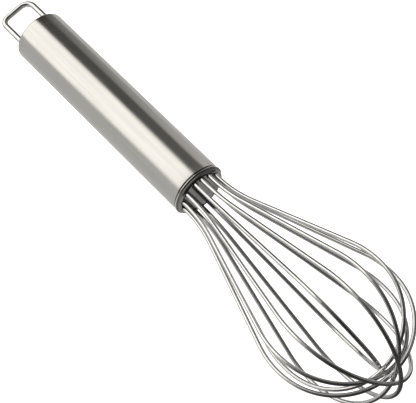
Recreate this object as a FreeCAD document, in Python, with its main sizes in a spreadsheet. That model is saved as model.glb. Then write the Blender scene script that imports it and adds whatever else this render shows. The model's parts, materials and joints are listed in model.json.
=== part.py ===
import FreeCAD, Part
import math
import os
import Sketcher
from FreeCAD import Placement, Rotation, Vector

# Balloon whisk, 10 inches long, lying on a worktop.
#
# Every piece is drawn in the whisk's own frame: Z runs along the whisk's axis towards the tip,
# Z = 0 is the open end of the handle tube, and X is the direction of wire loop 4.
# The whole whisk is then laid down on its handle end and two of its wires, with the tip
# towards +X and the origin under its middle, on the worktop. Lengths are in millimetres and
# angles in degrees.

DIMENSIONS = {
    # handle: a drawn tube with one closed end
    "handle_radius": 12.5,
    "handle_length": 111.1,
    "handle_wall": 0.8,
    "handle_end_wall": 1.2,
    "handle_end_rounding": 1.0,
    "handle_mouth_rounding": 0.25,
    # hanging loop: a bent wire whose two legs pass through the closed end
    "hanger_wire": 2.8,
    "hanger_width": 15.7,
    "hanger_reach": 19.0,
    "hanger_tight_corner": 3.3,
    "hanger_wide_corner": 4.8,
    "hanger_angle": 81.0,
    "hanger_hole": 2.9,
    "hanger_depth": 6.0,
    "hanger_head": 4.8,
    "hanger_head_height": 1.2,
    # anchor plate: a disc inside the closed end that the legs are riveted over
    "plate_radius": 9.5,
    "plate_thickness": 1.6,
    "plate_depth": 4.4,
    # end cap: a pressed dish with a skirt, a narrow neck that shows between the tube's mouth
    # and a rim bead, and a hole for each wire end
    "neck_height": 0.35,
    "bead_radius": 12.75,
    "bead_height": 0.9,
    "bead_rounding": 0.42,
    "shoulder_radius": 12.05,
    "shoulder_rounding": 1.5,
    "cap_height": 3.0,
    "cap_sheet": 0.7,
    "skirt_radius": 11.68,
    "skirt_depth": 6.0,
    "cap_hole": 2.6,
    # inside the handle: the nylon disc that seats the wires, and the resin that seals them
    "seat_radius": 11.5,
    "seat_depth": 21.0,
    "seat_thickness": 2.8,
    "seat_bore": 1.89,
    "resin_depth": 18.1,
    "resin_thickness": 11.9,
    # wire loops: legs, flare, straight cone and bulge have the same bends in all seven
    "wire": 1.83,
    "hole_circle": 9.95,
    "leg_depth": 21.8,
    "leg_height": 4.5,
    "flare_radius": 60.0,
    "cone_angle": 18.0,
    "bulge_radius": 40.0,
    "bulge_sweep": 26.0,
    # how the whisk lies: its axis rises towards the tip, and it is rolled about that axis
    "lie_rise": 5.83,
    "lie_roll": -147.1,
}

# Each loop is one wire with two legs. Its reach is the height of its tip above the handle.
# The loops are stacked at the tip, so each reach is its own. Like any hand-assembled whisk,
# some lean a little towards one leg and sit a few degrees off their even spacing.
LOOPS = [
    {"reach": 111.8, "lean": -1.0, "turn": 4.0},
    {"reach": 117.6, "lean": 1.0, "turn": 4.0},
    {"reach": 121.4, "lean": 0.0, "turn": 2.0},
    {"reach": 109.7, "lean": 0.0, "turn": -4.0},
    {"reach": 119.5, "lean": 0.8, "turn": 2.0},
    {"reach": 113.6, "lean": 0.1, "turn": 3.0},
    {"reach": 115.5, "lean": 0.4, "turn": 1.0},
]
LOOP_NUMBERS = range(1, len(LOOPS) + 1)
EVEN_SPACING = 180.0 / len(LOOPS)

doc = FreeCAD.newDocument("balloon_whisk")
sheet = doc.addObject("Spreadsheet::Sheet", "Dims")
cells = dict(DIMENSIONS)
for number, loop in zip(LOOP_NUMBERS, LOOPS):
    cells[f"reach_{number}"] = loop["reach"]
    cells[f"lean_{number}"] = loop["lean"]
    cells[f"angle_{number}"] = (number - 4) * EVEN_SPACING + loop["turn"]
for row, (alias, value) in enumerate(cells.items(), start=1):
    sheet.set(f"A{row}", alias)
    sheet.set(f"B{row}", f"{value:.3f}")
    sheet.setAlias(f"B{row}", alias)
doc.recompute()


def dim(alias):
    return float(sheet.get(alias))


# ---------------------------------------------------------------- sketches and features

def new_body(label):
    body = doc.addObject("PartDesign::Body", label)
    body.Label = label
    return body


def new_sketch(body, name, role="XY_Plane", height=None):
    """A sketch on one of the body's own planes, raised to a height given as an expression."""
    plane = next(item for item in body.Origin.OriginFeatures if item.Role == role)
    sketch = body.newObject("Sketcher::SketchObject", name)
    sketch.AttachmentSupport = [(plane, "")]
    sketch.MapMode = "FlatFace"
    if height:
        sketch.setExpression(".AttachmentOffset.Base.z", height)
    return sketch


def bind(sketch, name, expression, *constraint):
    """Add a named size to a sketch and tie it to the sheet."""
    index = sketch.addConstraint(Sketcher.Constraint(*constraint))
    sketch.renameConstraint(index, name)
    sketch.setExpression(f"Constraints.{name}", expression)


def add_circle(sketch, diameter, across=None, up=None):
    """A circle whose diameter and centre are expressions. It is centred if no place is given."""
    count = sketch.GeometryCount
    guess = Vector(count + 2.0, 1.0, 0)
    circle = sketch.addGeometry(Part.Circle(guess, Vector(0, 0, 1), 1.0))
    bind(sketch, f"size_{count}", diameter, "Diameter", circle, 2.0)
    if across is None:
        sketch.addConstraint(Sketcher.Constraint("Coincident", circle, 3, -1, 1))
        return
    bind(sketch, f"across_{count}", across, "DistanceX", -1, 1, circle, 3, guess.x)
    bind(sketch, f"up_{count}", up, "DistanceY", -1, 1, circle, 3, guess.y)


def extrude(body, kind, name, sketch, length, backwards=False):
    """A pad or a pocket of a sketch. Backwards means down the axis for a pad, up for a pocket."""
    before = body.Shape.Volume if body.Tip else 0.0
    feature = body.newObject("PartDesign::" + kind, name)
    feature.Profile = sketch
    feature.setExpression("Length", length)
    feature.Reversed = backwards
    doc.recompute()
    change = body.Shape.Volume - before
    if (change > -1e-6) if kind == "Pocket" else (change < 1e-6):
        raise RuntimeError(f"{body.Label}: {name} changes nothing")
    return feature


def round_circle(body, name, height, radius, rounding):
    """Round the circular edge of that radius at that height on the axis."""
    base = body.Tip
    edges = [f"Edge{k}" for k, edge in enumerate(base.Shape.Edges, start=1)
             if isinstance(edge.Curve, Part.Circle) and abs(edge.Curve.Radius - radius) < 1e-4
             and abs(edge.Curve.Center.z - height) < 1e-4]
    if len(edges) != 1:
        raise RuntimeError(f"{body.Label}: {name} finds {len(edges)} edges")
    fillet = body.newObject("PartDesign::Fillet", name)
    fillet.Base = (base, edges)
    fillet.setExpression("Radius", rounding)
    doc.recompute()


def wire_holes(body, name, diameter, height):
    """A sketch with one circle for each wire end, two to a loop."""
    sketch = new_sketch(body, name, height=height)
    for number in LOOP_NUMBERS:
        for sign in ("", "-"):
            add_circle(sketch, diameter,
                       f"{sign}Dims.hole_circle * cos(Dims.angle_{number} * 1 deg)",
                       f"{sign}Dims.hole_circle * sin(Dims.angle_{number} * 1 deg)")
    return sketch


def hanger_holes(body, name, height):
    """A sketch with the two holes that the hanging loop's legs pass through."""
    sketch = new_sketch(body, name, height=height)
    for sign in ("", "-"):
        add_circle(sketch, "Dims.hanger_hole",
                   f"{sign}Dims.hanger_width / 2 * cos(Dims.hanger_angle * 1 deg)",
                   f"{sign}Dims.hanger_width / 2 * sin(Dims.hanger_angle * 1 deg)")
    return sketch


def straight(length, size=None):
    """A straight run of a bent wire. Its size is an expression, or None where it may vary."""
    return {"length": length, "size": size}


def bend(radius, angle, radius_size, angle_size):
    """A bend of a wire, to the left if the angle is positive."""
    return {"radius": radius, "angle": angle, "size": radius_size, "sweep": angle_size}


def bent_path(sketch, start, heading, steps):
    """Draw a wire's centre line end to end, with tangent joints, and return its curves.

    The drawn sizes are a first guess. The expressions in the steps then set the true ones.
    """
    point, last = Vector(*start, 0), None
    curves = []
    for count, step in enumerate(steps, start=1):
        ahead = Vector(math.cos(math.radians(heading)), math.sin(math.radians(heading)), 0)
        if "length" in step:
            end = point + ahead * step["length"]
            curve = sketch.addGeometry(Part.LineSegment(point, end))
            first, final = 1, 2
            if step["size"]:
                bind(sketch, f"length_{count}", step["size"], "Distance", curve, step["length"])
        else:
            side = math.copysign(1, step["angle"])
            centre = point + Vector(-ahead.y, ahead.x, 0) * (side * step["radius"])
            begin = heading - 90 * side
            low, high = sorted((begin, begin + step["angle"]))
            circle = Part.Circle(centre, Vector(0, 0, 1), step["radius"])
            curve = sketch.addGeometry(
                Part.ArcOfCircle(circle, math.radians(low), math.radians(high)))
            first, final = (1, 2) if side > 0 else (2, 1)
            end = sketch.getPoint(curve, final)
            heading += step["angle"]
            if step["size"]:
                bind(sketch, f"radius_{count}", step["size"], "Radius", curve, step["radius"])
            bind(sketch, f"sweep_{count}", step["sweep"], "Angle", curve,
                 math.radians(abs(step["angle"])))
        if last:
            sketch.addConstraint(Sketcher.Constraint("Tangent", *last, curve, first))
        last, point = (curve, final), end
        curves.append((curve, first, final))
    return curves


def place_end(sketch, name, curve_end, across, up, guess):
    """Fix one end of a path to a place given by two expressions."""
    bind(sketch, f"{name}_across", across, "DistanceX", -1, 1, *curve_end, guess[0])
    bind(sketch, f"{name}_up", up, "DistanceY", -1, 1, *curve_end, guess[1])


def add_pipe(body, name, profile, path):
    pipe = body.newObject("PartDesign::AdditivePipe", name)
    pipe.Profile = profile
    pipe.Spine = (path, [f"Edge{k + 1}" for k in range(path.GeometryCount)])
    pipe.Transition = "Transformed"
    doc.recompute()


# ---------------------------------------------------------------- pieces

def handle_tube():
    body = new_body("handle_tube")
    outline = new_sketch(body, "tube_outline")
    add_circle(outline, "2 * Dims.handle_radius")
    extrude(body, "Pad", "tube", outline, "Dims.handle_length", backwards=True)
    round_circle(body, "end_rounding", -dim("handle_length"), dim("handle_radius"),
                 "Dims.handle_end_rounding")
    round_circle(body, "mouth_rounding", 0, dim("handle_radius"), "Dims.handle_mouth_rounding")
    hollow = new_sketch(body, "hollow_outline")
    add_circle(hollow, "2 * (Dims.handle_radius - Dims.handle_wall)")
    extrude(body, "Pocket", "hollow", hollow, "Dims.handle_length - Dims.handle_end_wall")
    legs = hanger_holes(body, "leg_holes", "-Dims.handle_length")
    extrude(body, "Pocket", "leg_passages", legs, "2 * Dims.handle_end_wall", backwards=True)
    return body


def hanging_loop():
    """The bent wire, with its legs riveted over at their inner ends."""
    body = new_body("hanging_loop")
    tight, wide = dim("hanger_tight_corner"), dim("hanger_wide_corner")
    half, length = dim("hanger_width") / 2, dim("hanger_reach") + dim("hanger_depth")
    inner_end = dim("handle_length") - dim("hanger_depth")
    leg_size = "Dims.hanger_reach + Dims.hanger_depth"
    path = new_sketch(body, "hanger_path", "XZ_Plane")
    curves = bent_path(path, (half, -inner_end), -90, [
        straight(length - tight, f"{leg_size} - Dims.hanger_tight_corner"),
        bend(tight, -90, "Dims.hanger_tight_corner", "90 deg"),
        straight(2 * half - tight - wide),
        bend(wide, -90, "Dims.hanger_wide_corner", "90 deg"),
        straight(length - wide, f"{leg_size} - Dims.hanger_wide_corner"),
    ])
    place_end(path, "start", curves[0][:2], "Dims.hanger_width / 2",
              "Dims.hanger_depth - Dims.handle_length", (half, -inner_end))
    place_end(path, "finish", (curves[-1][0], curves[-1][2]), "-Dims.hanger_width / 2",
              "Dims.hanger_depth - Dims.handle_length", (-half, -inner_end))
    section = new_sketch(body, "hanger_section", height="Dims.hanger_depth - Dims.handle_length")
    add_circle(section, "Dims.hanger_wire", "Dims.hanger_width / 2", "0")
    add_pipe(body, "bent_wire", section, path)
    heads = new_sketch(body, "head_outlines", height="Dims.hanger_depth - Dims.handle_length")
    for sign in ("", "-"):
        add_circle(heads, "Dims.hanger_head", f"{sign}Dims.hanger_width / 2", "0")
    extrude(body, "Pad", "rivet_heads", heads, "Dims.hanger_head_height")
    return body


def anchor_plate():
    body = new_body("anchor_plate")
    outline = new_sketch(body, "plate_outline", height="Dims.plate_depth - Dims.handle_length")
    add_circle(outline, "2 * Dims.plate_radius")
    extrude(body, "Pad", "plate", outline, "Dims.plate_thickness")
    legs = hanger_holes(body, "plate_holes", "Dims.plate_depth - Dims.handle_length")
    extrude(body, "Pocket", "plate_passages", legs, "Dims.plate_thickness", backwards=True)
    return body


def end_cap():
    """The dish: a skirt inside the tube, a neck, a bead and a rounded shoulder."""
    body = new_body("end_cap")
    bead = new_sketch(body, "bead_outline", height="Dims.neck_height")
    add_circle(bead, "2 * Dims.bead_radius")
    extrude(body, "Pad", "bead", bead, "Dims.bead_height")
    neck, bead_top = dim("neck_height"), dim("neck_height") + dim("bead_height")
    for name, height in (("bead_underside", neck), ("bead_top", bead_top)):
        round_circle(body, name, height, dim("bead_radius"), "Dims.bead_rounding")
    dome = new_sketch(body, "dome_outline", height="Dims.neck_height")
    add_circle(dome, "2 * Dims.shoulder_radius")
    extrude(body, "Pad", "dome", dome, "Dims.cap_height - Dims.neck_height")
    round_circle(body, "shoulder", dim("cap_height"), dim("shoulder_radius"),
                 "Dims.shoulder_rounding")
    skirt = new_sketch(body, "skirt_outline", height="Dims.neck_height")
    add_circle(skirt, "2 * Dims.skirt_radius")
    extrude(body, "Pad", "skirt", skirt, "Dims.neck_height + Dims.skirt_depth", backwards=True)
    hollow = new_sketch(body, "dish_outline", height="-Dims.skirt_depth")
    add_circle(hollow, "2 * (Dims.skirt_radius - Dims.cap_sheet)")
    extrude(body, "Pocket", "dish", hollow,
            "Dims.skirt_depth + Dims.cap_height - Dims.cap_sheet", backwards=True)
    holes = wire_holes(body, "cap_holes", "Dims.cap_hole", "Dims.cap_height")
    extrude(body, "Pocket", "wire_passages", holes, "2 * Dims.cap_sheet")
    return body


def bored_disc(label, radius, depth, thickness, bore):
    """A disc inside the handle with a bore for each wire end."""
    body = new_body(label)
    outline = new_sketch(body, f"{label}_outline", height=f"-Dims.{depth}")
    add_circle(outline, f"2 * Dims.{radius}")
    extrude(body, "Pad", f"{label}_disc", outline, f"Dims.{thickness}")
    bores = wire_holes(body, f"{label}_bores", f"Dims.{bore}", f"-Dims.{depth}")
    extrude(body, "Pocket", f"{label}_passages", bores, f"Dims.{thickness}", backwards=True)
    return body


def wire_loop(number):
    """One balloon wire, bent in a single plane: leg, flare, cone, bulge, tip, and back."""
    body = new_body(f"wire_loop_{number}")
    circle, top, depth = dim("hole_circle"), dim("leg_height"), dim("leg_depth")
    flare, cone, bulge = dim("flare_radius"), dim("cone_angle"), dim("bulge_radius")
    sweep, reach = dim("bulge_sweep"), dim(f"reach_{number}")

    # First guess: the cone and tip of an upright loop that has these bends and this reach.
    tilt, past = math.radians(cone), math.radians(sweep - cone)
    closing = (1 - math.sin(past)) / math.cos(past)
    rise = top + flare * math.sin(tilt) + bulge * (math.sin(tilt) + math.sin(past))
    width = circle + flare * (1 - math.cos(tilt)) + bulge * (math.cos(past) - math.cos(tilt))
    cone_length = (reach - rise - closing * width) / (math.cos(tilt) + closing * math.sin(tilt))
    tip = (width + cone_length * math.sin(tilt)) / math.cos(past)

    leg_size = "Dims.leg_depth + Dims.leg_height"
    bulge_step = bend(bulge, sweep, "Dims.bulge_radius", "Dims.bulge_sweep * 1 deg")
    tip_step = bend(tip, 90 + cone - sweep, None,
                    "(90 + Dims.cone_angle - Dims.bulge_sweep) * 1 deg")

    def flare_step(sign):
        return bend(flare, -cone, "Dims.flare_radius",
                    f"(Dims.cone_angle {sign} Dims.lean_{number}) * 1 deg")

    path = new_sketch(body, f"path_{number}", "XZ_Plane")
    curves = bent_path(path, (circle, -depth), 90, [
        straight(depth + top, leg_size), flare_step("-"), straight(cone_length),
        bulge_step, tip_step, tip_step, bulge_step,
        straight(cone_length), flare_step("+"), straight(depth + top, leg_size)])
    path.addConstraint(Sketcher.Constraint("Equal", curves[2][0], curves[7][0]))
    path.addConstraint(Sketcher.Constraint("Vertical", curves[0][0]))
    place_end(path, "start", curves[0][:2], "Dims.hole_circle", "-Dims.leg_depth",
              (circle, -depth))
    place_end(path, "finish", (curves[-1][0], curves[-1][2]), "-Dims.hole_circle",
              "-Dims.leg_depth", (-circle, -depth))
    bind(path, "reach", f"Dims.reach_{number}", "DistanceY", -1, 1,
         curves[4][0], curves[4][2], reach)
    section = new_sketch(body, f"section_{number}", height="-Dims.leg_depth")
    add_circle(section, "Dims.wire", "Dims.hole_circle", "0")
    add_pipe(body, f"bent_wire_{number}", section, path)
    return body


# ---------------------------------------------------------------- the whisk

def check(item):
    """Stop if an object did not compute, or if a piece is not one sound solid."""
    if any(word in item.State for word in ("Invalid", "Error")):
        raise RuntimeError(f"{item.Label} did not compute")
    if item.TypeId == "PartDesign::Body":
        shape = item.Shape
        if shape.isNull() or not shape.isValid() or len(shape.Solids) != 1:
            raise RuntimeError(f"{item.Label} is not one valid solid")


def lay_down(pieces):
    """Lay the whisk on the worktop, with the origin under the middle of its bounding box."""
    lying = Rotation(Vector(0, 1, 0), 90 - dim("lie_rise"))
    rolled = lying.multiply(Rotation(Vector(0, 0, 1), dim("lie_roll")))

    def place(offset):
        for body, turn in pieces:
            body.Placement = Placement(offset, rolled.multiply(Rotation(Vector(0, 0, 1), turn)))
        doc.recompute()

    place(Vector())
    box = FreeCAD.BoundBox()
    for body, _ in pieces:
        box.add(body.Shape.optimalBoundingBox(False))
    place(Vector(-box.Center.x, -box.Center.y, -box.ZMin))


pieces = [(handle_tube(), 0), (end_cap(), 0), (anchor_plate(), 0),
          (hanging_loop(), dim("hanger_angle")),
          (bored_disc("wire_seat", "seat_radius", "seat_depth", "seat_thickness", "seat_bore"), 0),
          (bored_disc("sealing_resin", "seat_radius", "resin_depth", "resin_thickness",
                      "seat_bore"), 0)]
pieces += [(wire_loop(number), dim(f"angle_{number}")) for number in LOOP_NUMBERS]
lay_down(pieces)

for item in doc.Objects:
    check(item)
os.makedirs("parts", exist_ok=True)
for body, _ in pieces:
    body.Shape.exportStep(f"parts/{body.Label}.step")
    print(f"{body.Label}: {body.Shape.Volume:.1f} cubic mm")
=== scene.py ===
"""Looks of the balloon whisk: steel finishes, a brushed handle, studio light, floor and camera.

Lengths are in metres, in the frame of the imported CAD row: the whisk lies on the worktop with
its balloon towards +X. Its own frame has Z along its axis towards the balloon's tip.
"""

import json
import math

import bmesh
import bpy
from mathutils import Matrix, Vector


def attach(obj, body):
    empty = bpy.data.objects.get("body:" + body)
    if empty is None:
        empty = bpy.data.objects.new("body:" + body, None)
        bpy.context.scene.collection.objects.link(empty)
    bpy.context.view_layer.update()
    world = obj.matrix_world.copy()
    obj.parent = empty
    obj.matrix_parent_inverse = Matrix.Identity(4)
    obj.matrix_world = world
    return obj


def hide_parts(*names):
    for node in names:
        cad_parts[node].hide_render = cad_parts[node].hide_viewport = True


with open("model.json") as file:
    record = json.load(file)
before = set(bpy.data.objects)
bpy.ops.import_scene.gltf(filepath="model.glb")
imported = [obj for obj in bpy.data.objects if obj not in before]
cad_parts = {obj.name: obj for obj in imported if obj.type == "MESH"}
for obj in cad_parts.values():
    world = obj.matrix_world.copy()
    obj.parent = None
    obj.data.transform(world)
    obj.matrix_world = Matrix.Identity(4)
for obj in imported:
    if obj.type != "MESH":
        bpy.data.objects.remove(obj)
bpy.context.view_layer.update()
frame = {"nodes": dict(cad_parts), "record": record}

MM = 0.001

# The view: from the balloon's side, well above the worktop, with the camera tipped.
CAMERA_AZIMUTH = -55.15  # degrees from +X towards +Y
CAMERA_ELEVATION = 53.21
CAMERA_ROLL = 18.50
CAMERA_DISTANCE = 0.5849
CAMERA_AIM = Vector((0.01242, -0.00071, 0.02405))
SENSOR = 36  # millimetres
LENS = 120.45  # millimetres

# The handle's tube.
HANDLE_WALL = 0.8 * MM
HANDLE_END_WALL = 1.2 * MM
HANDLE_END_ROUNDING = 1.0 * MM
HANDLE_RIM_ROUNDING = 0.25 * MM
HANDLE_SEGMENTS = 160
HANDLE_WALL_STEPS = 24

# Zones of the cap's painted light and shade, by height above the tube's mouth: where each starts,
# from and to.
# Painted shadow in the neck below the bead, and a painted highlight on the bead.
CAP_BEAD_HIGHLIGHT = (0.62 * MM, 0.78 * MM)
# Painted shade in the crease and on the shoulder above it.
CAP_CREASE_SHADE = (1.05 * MM, 1.25 * MM)
# Painted shade on the cap's face.
CAP_FACE_SHADE = (1.9 * MM, 2.7 * MM)

# The part of the wires that beats the bowl, by height above the middle of the grip.
BEATEN = (0.12, 0.175)

# The studio, as radiances and as angles in degrees about the whisk's axis from the camera's side.
SOFTBOX = 1.6
SOFTBOX_END = 38
EDGE = (54, 120)
WALL_END = -88
GAP = (-76, -39)
FAR_SIDE = (-72, -45)
BACKGROUND = 1.0

# The worktop: how pale it is, how it glows, and where it fades beyond the balloon's tip into a
# painted shade seen in reflections.
FLOOR_RADIUS = 6.0
FLOOR_PALENESS = 0.9
FLOOR_GLOW = 0.3
FLOOR_CAMERA_GLOW = 1.0
FLOOR_FADE = (0.095, 0.13)
FLOOR_FADED = 0.1

WIRE_LOOPS = 7


# --- the whisk's own frame ---


def whisk_frame():
    """The whisk's frame as a matrix, from the middle of the grip, and the handle's radius."""
    grip = next(m for m in frame["record"]["mounts"] if m["name"] == "handle_grip")
    along = -Vector(grip["axis"]).normalized()
    across = Vector((0, 1, 0))
    turned = Matrix((across.cross(along), across, along)).transposed().to_4x4()
    turned.translation = Vector(grip["pos_m"])
    return turned, grip["dims"]["r_mm"] * MM


WHISK, HANDLE_RADIUS = whisk_frame()


def along_whisk(node):
    """How far a CAD node reaches along the whisk's axis, from and to."""
    to_whisk = WHISK.inverted()
    heights = [(to_whisk @ v.co).z for v in frame["nodes"][node].data.vertices]
    return min(heights), max(heights)


# --- node helpers ---


class Nodes:
    """A short way to write a node tree."""

    def __init__(self, tree):
        self.tree = tree
        self.tree.nodes.clear()

    def add(self, kind, inputs=None, **settings):
        node = self.tree.nodes.new(kind)
        for name, value in settings.items():
            setattr(node, name, value)
        for name, value in (inputs or {}).items():
            self.set(node.inputs[name], value)
        return node

    def set(self, socket, value):
        if isinstance(value, bpy.types.NodeSocket):
            self.tree.links.new(value, socket)
        else:
            socket.default_value = value

    def math(self, operation, *values):
        node = self.add("ShaderNodeMath", operation=operation)
        for socket, value in zip(node.inputs, values):
            self.set(socket, value)
        return node.outputs[0]

    def dot(self, a, b):
        node = self.add("ShaderNodeVectorMath", operation="DOT_PRODUCT")
        self.set(node.inputs[0], a)
        self.set(node.inputs[1], b)
        return node.outputs["Value"]

    def spread(self, value, low, high, to_low=0.0, to_high=1.0):
        """value, from low..high smoothly to to_low..to_high."""
        node = self.add("ShaderNodeMapRange", interpolation_type="SMOOTHSTEP")
        for socket, number in zip(node.inputs, (value, low, high, to_low, to_high)):
            self.set(socket, number)
        return node.outputs[0]

    def noise(self, vector, scale, detail=3.0, roughness=0.5):
        node = self.add(
            "ShaderNodeTexNoise",
            {"Vector": vector, "Scale": scale, "Detail": detail, "Roughness": roughness},
        )
        return node.outputs["Fac"]

    def mix(self, factor, a, b):
        node = self.add("ShaderNodeMix", data_type="RGBA")
        self.set(node.inputs["Factor"], factor)
        self.set(node.inputs["A"], a)
        self.set(node.inputs["B"], b)
        return node.outputs["Result"]

    def ramp(self, value, stops):
        """A colour by value, eased between stops of (place, colour)."""
        node = self.add("ShaderNodeValToRGB", {"Fac": value})
        ramp = node.color_ramp
        ramp.interpolation = "EASE"
        for _ in stops[2:]:
            ramp.elements.new(0.5)
        for element, (place, colour) in zip(ramp.elements, stops):
            element.position = place
            element.color = colour
        return node.outputs["Color"]


def grey(level, warm=0.0):
    """A grey, a little warmer with warm above 0."""
    return (level * (1 + warm), level, level * (1 - 2 * warm), 1.0)


def own_frame(nodes):
    """A point's place in its own object's frame, which for a CAD node is the row's frame."""
    return nodes.add("ShaderNodeTexCoord").outputs["Object"]


def in_whisk_frame(nodes):
    """A point of a CAD node in the whisk's own frame."""
    mapping = nodes.add("ShaderNodeMapping", {"Vector": own_frame(nodes)}, vector_type="TEXTURE")
    mapping.inputs["Location"].default_value = WHISK.translation
    mapping.inputs["Rotation"].default_value = WHISK.to_euler()
    return mapping.outputs["Vector"]


def height_of(nodes, place):
    """How far a place in the whisk's frame lies along its axis."""
    return nodes.add("ShaderNodeSeparateXYZ", {"Vector": place}).outputs["Z"]


def stretched(nodes, vector, across, along):
    """vector scaled by across over the whisk's axis and by along on it."""
    mapping = nodes.add("ShaderNodeMapping", {"Vector": vector}, vector_type="POINT")
    mapping.inputs["Scale"].default_value = (across, across, along)
    return mapping.outputs["Vector"]


# --- materials ---


def new_material(name):
    material = bpy.data.materials.new(name)
    material.use_nodes = True
    return material, Nodes(material.node_tree)


def finish_material(nodes, inputs, bump, strength, distance):
    """A Principled surface with these inputs, and a bump of a height."""
    surface = nodes.add("ShaderNodeBsdfPrincipled", inputs)
    raised = nodes.add(
        "ShaderNodeBump", {"Height": bump, "Strength": strength, "Distance": distance}
    )
    nodes.set(surface.inputs["Normal"], raised.outputs["Normal"])
    nodes.add("ShaderNodeOutputMaterial", {"Surface": surface.outputs["BSDF"]})


def finish_metal(nodes, tone, roughness, bump, strength, distance):
    inputs = {"Base Color": tone, "Metallic": 1.0, "Roughness": roughness}
    finish_material(nodes, inputs, bump, strength, distance)


def brushed_steel(name):
    """Satin steel with fine scratches along the axis, smudges, and edges rubbed bright."""
    material, nodes = new_material(name)
    place = own_frame(nodes)
    fine = nodes.noise(stretched(nodes, place, 5200, 26), 1.0, detail=4)
    broad = nodes.noise(stretched(nodes, place, 900, 7), 1.0, detail=3)
    smudge = nodes.noise(place, 38, detail=3, roughness=0.6)
    streak = nodes.math("MULTIPLY_ADD", fine, 0.6, nodes.math("MULTIPLY", broad, 0.4))
    pointed = nodes.add("ShaderNodeNewGeometry").outputs["Pointiness"]
    worn = nodes.spread(pointed, 0.51, 0.56)
    tone = nodes.mix(nodes.spread(streak, 0.34, 0.66), grey(0.515, 0.025), grey(0.6, 0.02))
    tone = nodes.mix(nodes.spread(smudge, 0.45, 0.75, 0, 0.3), tone, grey(0.5, 0.03))
    tone = nodes.mix(worn, tone, grey(0.66, 0.01))
    roughness = nodes.spread(streak, 0.3, 0.7, 0.14, 0.22)
    roughness = nodes.math("ADD", roughness, nodes.spread(smudge, 0.4, 0.75, 0, 0.05))
    roughness = nodes.math("MULTIPLY_ADD", worn, -0.05, roughness)
    finish_metal(nodes, tone, roughness, bump=streak, strength=0.35, distance=0.012 * MM)
    return material


def polished_wire(name):
    """Bright drawn wire: faint draw marks, fine scuffs, duller where it beats against the bowl."""
    material, nodes = new_material(name)
    place = in_whisk_frame(nodes)
    marks = nodes.noise(stretched(nodes, place, 2600, 300), 1.0, detail=2)
    scuff = nodes.noise(place, 420, detail=4, roughness=0.65)
    beaten = nodes.spread(height_of(nodes, place), *BEATEN)
    tone = nodes.mix(nodes.spread(scuff, 0.4, 0.7), grey(0.68, 0.003), grey(0.6, 0.005))
    tone = nodes.mix(nodes.math("MULTIPLY", beaten, 0.35), tone, grey(0.6, 0.008))
    roughness = nodes.spread(scuff, 0.35, 0.75, 0.06, 0.11)
    roughness = nodes.math("MULTIPLY_ADD", beaten, 0.05, roughness)
    finish_metal(nodes, tone, roughness, bump=marks, strength=0.3, distance=0.006 * MM)
    return material


def plate_steel(name):
    """Plain steel sheet: a fine orange peel, smudges and edges rubbed bright."""
    material, nodes = new_material(name)
    place = in_whisk_frame(nodes)
    peel = nodes.noise(place, 1900, detail=3)
    smudge = nodes.noise(place, 160, detail=3, roughness=0.6)
    pointed = nodes.add("ShaderNodeNewGeometry").outputs["Pointiness"]
    worn = nodes.spread(pointed, 0.52, 0.6)
    tone = nodes.mix(nodes.spread(smudge, 0.35, 0.7), grey(0.45, 0.02), grey(0.387, 0.02))
    tone = nodes.mix(worn, tone, grey(0.54, 0.01))
    roughness = nodes.spread(peel, 0.35, 0.7, 0.22, 0.308)
    finish_metal(nodes, tone, roughness, bump=peel, strength=0.3, distance=0.01 * MM)
    return material


def cap_steel(name):
    """The pressed cap: painted shadow in the neck, a painted highlight on the bead, and painted
    shade in the crease, on the rougher shoulder and on the grey face.
    """
    material, nodes = new_material(name)
    place = in_whisk_frame(nodes)
    peel = nodes.noise(place, 1900, detail=3)
    smudge = nodes.noise(place, 260, detail=4, roughness=0.65)
    mouth = along_whisk("handle_tube")[1]
    level = nodes.math("SUBTRACT", height_of(nodes, place), mouth)
    bead_highlight = nodes.spread(level, *CAP_BEAD_HIGHLIGHT)
    crease_shade = nodes.spread(level, *CAP_CREASE_SHADE)
    face = nodes.spread(level, *CAP_FACE_SHADE)
    # Painted shadow in the neck below the bead, and a painted highlight on the bead.
    tone = nodes.mix(bead_highlight, grey(0.08, 0.02), grey(0.72, 0.02))
    # Painted shade in the crease and on the shoulder above it.
    tone = nodes.mix(crease_shade, tone, grey(0.25, 0.02))
    # Painted shade on the face, varied by smudges.
    face_shade = nodes.mix(nodes.spread(smudge, 0.35, 0.7), grey(0.3, 0.02), grey(0.22, 0.02))
    tone = nodes.mix(face, tone, face_shade)
    roughness = nodes.spread(peel, 0.35, 0.7, 0.08, 0.12)
    shoulder = nodes.math("SUBTRACT", crease_shade, face)
    roughness = nodes.math("MULTIPLY_ADD", shoulder, 0.35, roughness)
    finish_metal(nodes, tone, roughness, bump=peel, strength=0.3, distance=0.01 * MM)
    return material


def plastic(name, level, warm, gloss_roughness, clearness=0.0):
    """Cast plastic: slight mottling of colour and gloss."""
    material, nodes = new_material(name)
    place = in_whisk_frame(nodes)
    mottle = nodes.noise(place, 300, detail=4)
    grain = nodes.noise(place, 2500, detail=2)
    tone = nodes.mix(nodes.spread(mottle, 0.35, 0.7), grey(level, warm), grey(level * 0.88, warm))
    inputs = {
        "Base Color": tone,
        "Roughness": nodes.spread(mottle, 0.3, 0.7, gloss_roughness, gloss_roughness + 0.12),
        "Subsurface Weight": clearness,
        "Subsurface Scale": 1.5 * MM,
    }
    finish_material(nodes, inputs, bump=grain, strength=0.2, distance=0.01 * MM)
    return material


def dress(node, material):
    """Gives a CAD node its finish."""
    for slot in frame["nodes"][node].material_slots:
        slot.material = material


# --- the handle ---


def quarter(centre_r, centre_z, radius, start, steps=8):
    """Points of a quarter circle in the r-z plane, from the angle start, anticlockwise."""
    turns = [math.radians(start + 90 * i / steps) for i in range(steps + 1)]
    return [(centre_r + radius * math.cos(t), centre_z + radius * math.sin(t)) for t in turns]


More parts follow.
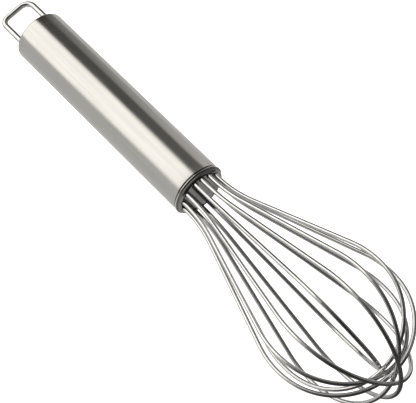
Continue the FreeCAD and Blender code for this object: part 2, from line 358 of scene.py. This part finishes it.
def lathe(name, outline, segments):
    """A solid turned about Z from a closed outline of (r, z) points, whose ends lie on the axis."""
    mesh = bmesh.new()
    rings = []
    for r, z in outline:
        if r < 1e-9:
            rings.append([mesh.verts.new((0, 0, z))])
            continue
        turns = (2 * math.pi * i / segments for i in range(segments))
        rings.append([mesh.verts.new((r * math.cos(t), r * math.sin(t), z)) for t in turns])
    for low, high in zip(rings, rings[1:]):
        for i in range(segments):
            j = (i + 1) % segments
            below = [low[i % len(low)], low[j % len(low)]]
            above = [high[j % len(high)], high[i % len(high)]]
            mesh.faces.new(list(dict.fromkeys(below + above)))
    bmesh.ops.recalc_face_normals(mesh, faces=mesh.faces)
    data = bpy.data.meshes.new(name)
    mesh.to_mesh(data)
    mesh.free()
    for face in data.polygons:
        face.use_smooth = True
    piece = bpy.data.objects.new(name, data)
    bpy.context.scene.collection.objects.link(piece)
    return piece


def smooth_by_angle(piece, degrees=35):
    """Keeps edges sharper than this sharp in the shading."""
    bpy.context.view_layer.objects.active = piece
    piece.select_set(True)
    bpy.ops.object.shade_smooth_by_angle(angle=math.radians(degrees))
    piece.select_set(False)


def tube_outline(start, end):
    """The drawn tube: closed and rounded at start, open at end with its rim eased."""
    inner = HANDLE_RADIUS - HANDLE_WALL
    corner = HANDLE_END_ROUNDING
    ease = HANDLE_RIM_ROUNDING
    outline = [(0.0, start), ((HANDLE_RADIUS - corner) * 0.5, start)]
    outline += quarter(HANDLE_RADIUS - corner, start + corner, corner, -90)
    straight = (end - ease) - (start + corner)
    for i in range(1, HANDLE_WALL_STEPS):
        outline.append((HANDLE_RADIUS, start + corner + straight * i / HANDLE_WALL_STEPS))
    outline += quarter(HANDLE_RADIUS - ease, end - ease, ease, 0, steps=4)
    outline += [(inner, end), (inner, start + HANDLE_END_WALL), (0.0, start + HANDLE_END_WALL)]
    return outline


def make_handle():
    """The brushed tube, in the whisk's frame."""
    start, end = along_whisk("handle_tube")
    handle = lathe("handle", tube_outline(start, end), HANDLE_SEGMENTS)
    handle.matrix_world = WHISK
    handle.data.materials.append(brushed_steel("handle_brushed"))
    smooth_by_angle(handle)
    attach(handle, "root")
    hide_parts("handle_tube")


# --- the studio ---


def camera_axes():
    """The camera's right, up and back directions."""
    angles = (CAMERA_AZIMUTH, CAMERA_ELEVATION, CAMERA_ROLL)
    azimuth, elevation, roll = map(math.radians, angles)
    level = math.cos(elevation)
    back = Vector((level * math.cos(azimuth), level * math.sin(azimuth), math.sin(elevation)))
    right = Vector((0, 0, 1)).cross(back).normalized()
    right = Matrix.Rotation(roll, 3, back) @ right
    return right, back.cross(right), back


def make_camera():
    right, up, back = camera_axes()
    camera = bpy.data.objects.new("camera", bpy.data.cameras.new("camera"))
    camera.data.lens = LENS
    camera.data.sensor_width = SENSOR
    camera.matrix_world = Matrix((right, up, back)).transposed().to_4x4()
    camera.location = CAMERA_AIM + CAMERA_DISTANCE * back
    camera.data.clip_start = 0.05
    camera.data.clip_end = 50
    bpy.context.scene.collection.objects.link(camera)
    bpy.context.scene.camera = camera


def on_circle(degrees):
    """An angle from -180 to 180 degrees as a share from 0 to 1."""
    return degrees / 360 + 0.5


def directions(nodes):
    """A direction's turn round the whisk's axis, as a share of a circle, and its lean.

    The turn is 0.5 on the camera's side. The lean is 1 towards the balloon's tip.
    """
    axis = WHISK.to_3x3().col[2]
    back = camera_axes()[2]
    front = (back - back.dot(axis) * axis).normalized()
    side = axis.cross(front)
    way = nodes.add("ShaderNodeTexCoord").outputs["Generated"]
    turn = nodes.math("ARCTAN2", nodes.dot(way, side), nodes.dot(way, front))
    turn = nodes.math("MULTIPLY_ADD", turn, 1 / (2 * math.pi), 0.5)
    return turn, nodes.dot(way, tuple(axis))


def studio_light(nodes, turn, lean):
    """A softbox over the camera's side, a dark gap beyond it, and dimmer walls behind and ahead.

    Levels are radiances here, and the colour that comes out is a share of the softbox's.
    """
    share = nodes.math("MULTIPLY_ADD", lean, 0.5, 0.5)

    def around(gap, wall, full, edge):
        """The light round the axis; the softbox is at its full level from the angle full."""
        levels = [(-180, wall), (WALL_END, wall), (GAP[0], gap), (GAP[1], gap)]
        levels += [(full, SOFTBOX), (SOFTBOX_END, SOFTBOX), (EDGE[0], edge), (EDGE[1], edge)]
        stops = [(on_circle(angle), grey(level / SOFTBOX, 0.02)) for angle, level in levels]
        return nodes.ramp(turn, stops)

    def along(levels):
        """A light by its lean towards the balloon's end, from -1 to 1."""
        stops = [(place / 2 + 0.5, grey(level / SOFTBOX)) for place, level in levels]
        return nodes.ramp(share, stops)

    low = around(0.02, 0.05, -31, SOFTBOX)
    middle = around(0.08, 0.21, -32, SOFTBOX)
    high = around(0.15, 0.62, -22, 0.9)
    sides = nodes.mix(nodes.spread(lean, -0.56, -0.44), middle, high)
    sides = nodes.mix(nodes.spread(lean, -0.68, -0.6), low, sides)
    covered = along([(-0.92, 0), (-0.87, SOFTBOX), (-0.31, SOFTBOX), (-0.16, 0.4), (-0.03, 0)])
    ends = along([(-0.9, 0.06), (-0.3, 0.3), (0.0, 0.2), (0.15, 0.12), (0.35, 0.07), (0.6, 0.03)])
    far_wall = along([(-0.3, 0.3), (0.0, 0.2), (0.4, 0.12), (0.55, 0.28), (0.7, 0.28), (0.85, 0.03)])
    far_side = nodes.spread(turn, on_circle(FAR_SIDE[0]), on_circle(FAR_SIDE[1]), 1, 0)
    ends = nodes.mix(far_side, ends, far_wall)
    return nodes.mix(covered, ends, sides)


def make_world():
    """The studio's light on the whisk, and a plain white background for the camera."""
    world = bpy.data.worlds.new("studio")
    world.use_nodes = True
    bpy.context.scene.world = world
    nodes = Nodes(world.node_tree)
    light = studio_light(nodes, *directions(nodes))
    seen = nodes.add("ShaderNodeLightPath").outputs["Is Camera Ray"]
    lit = nodes.add("ShaderNodeBackground", {"Color": light, "Strength": SOFTBOX})
    plain = nodes.add("ShaderNodeBackground", {"Color": grey(1.0), "Strength": BACKGROUND})
    both = nodes.add("ShaderNodeMixShader", {0: seen, 1: lit.outputs[0], 2: plain.outputs[0]})
    nodes.add("ShaderNodeOutputWorld", {"Surface": both.outputs[0]})


def worktop(name):
    """Matt white that also glows: white to the camera, and darkened beyond the tip in reflections by
    a painted shade.
    """
    material, nodes = new_material(name)
    ahead = nodes.add("ShaderNodeSeparateXYZ", {"Vector": own_frame(nodes)}).outputs["X"]
    # Beyond the balloon's tip the colour and glow fade: a painted shade that shows in reflections
    # only.
    near = nodes.spread(ahead, *FLOOR_FADE, 1.0, FLOOR_FADED)
    colour = nodes.mix(near, grey(0.0), grey(FLOOR_PALENESS))
    diffuse = nodes.add("ShaderNodeBsdfDiffuse", {"Color": colour})
    seen = nodes.add("ShaderNodeLightPath").outputs["Is Camera Ray"]
    strength = nodes.math("MULTIPLY", near, FLOOR_GLOW)
    strength = nodes.math("MULTIPLY_ADD", seen, FLOOR_CAMERA_GLOW, strength)
    glow = nodes.add("ShaderNodeEmission", {"Color": grey(1.0), "Strength": strength})
    both = nodes.add("ShaderNodeAddShader", {0: diffuse.outputs[0], 1: glow.outputs[0]})
    nodes.add("ShaderNodeOutputMaterial", {"Surface": both.outputs[0]})
    return material


def make_floor():
    """A white worktop, with a painted shade beyond the balloon's tip."""
    data = bpy.data.meshes.new("floor")
    mesh = bmesh.new()
    bmesh.ops.create_circle(mesh, cap_ends=True, radius=FLOOR_RADIUS, segments=64)
    mesh.to_mesh(data)
    mesh.free()
    floor = bpy.data.objects.new("floor", data)
    bpy.context.scene.collection.objects.link(floor)
    data.materials.append(worktop("worktop"))


# --- the scene ---


def dress_nodes():
    """Finishes for the CAD nodes that stay."""
    wire = polished_wire("wire_polished")
    for number in range(1, WIRE_LOOPS + 1):
        dress(f"wire_loop_{number}", wire)
    dress("hanging_loop", polished_wire("hanger_polished"))
    dress("end_cap", cap_steel("cap_polished_painted_shade"))
    dress("anchor_plate", plate_steel("plate_steel"))
    dress("wire_seat", plastic("seat_nylon", 0.72, 0.03, 0.45, clearness=0.2))
    dress("sealing_resin", plastic("resin_epoxy", 0.45, 0.12, 0.15))


make_handle()
dress_nodes()
make_floor()
make_world()
make_camera()
bpy.context.scene.view_settings.view_transform = "Standard"
